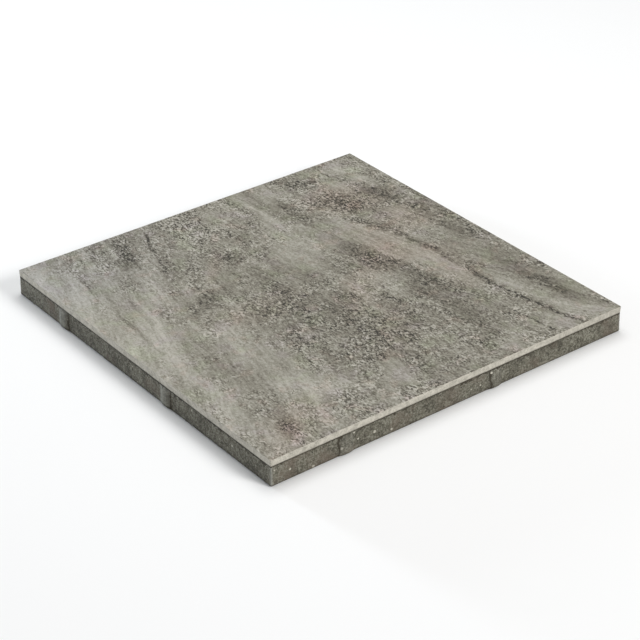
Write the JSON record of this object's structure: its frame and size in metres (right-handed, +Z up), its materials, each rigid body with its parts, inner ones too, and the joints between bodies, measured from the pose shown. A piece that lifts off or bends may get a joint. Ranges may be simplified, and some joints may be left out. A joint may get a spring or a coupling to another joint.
{
  "type": "ceramic patio slab",
  "caption": "Square garden paving slab: a pale stone-look ceramic tile bonded to a dark cast concrete base with spacer nibs on its sides, laid flat to pave a patio.",
  "frame": {"origin": "middle of the slab's underside, on the bed it lies on", "axes": "+Z up through the walking face; X and Y along the slab's sides"},
  "size_m": [0.6018, 0.6018, 0.04],
  "materials": {
    "tile": "matt stone-look",
    "base": "rough cast concrete"
  },
  "bodies": {
    "root": {"ceramic_tile": "tile", "concrete_base": "base"}
  },
  "joints": []
}
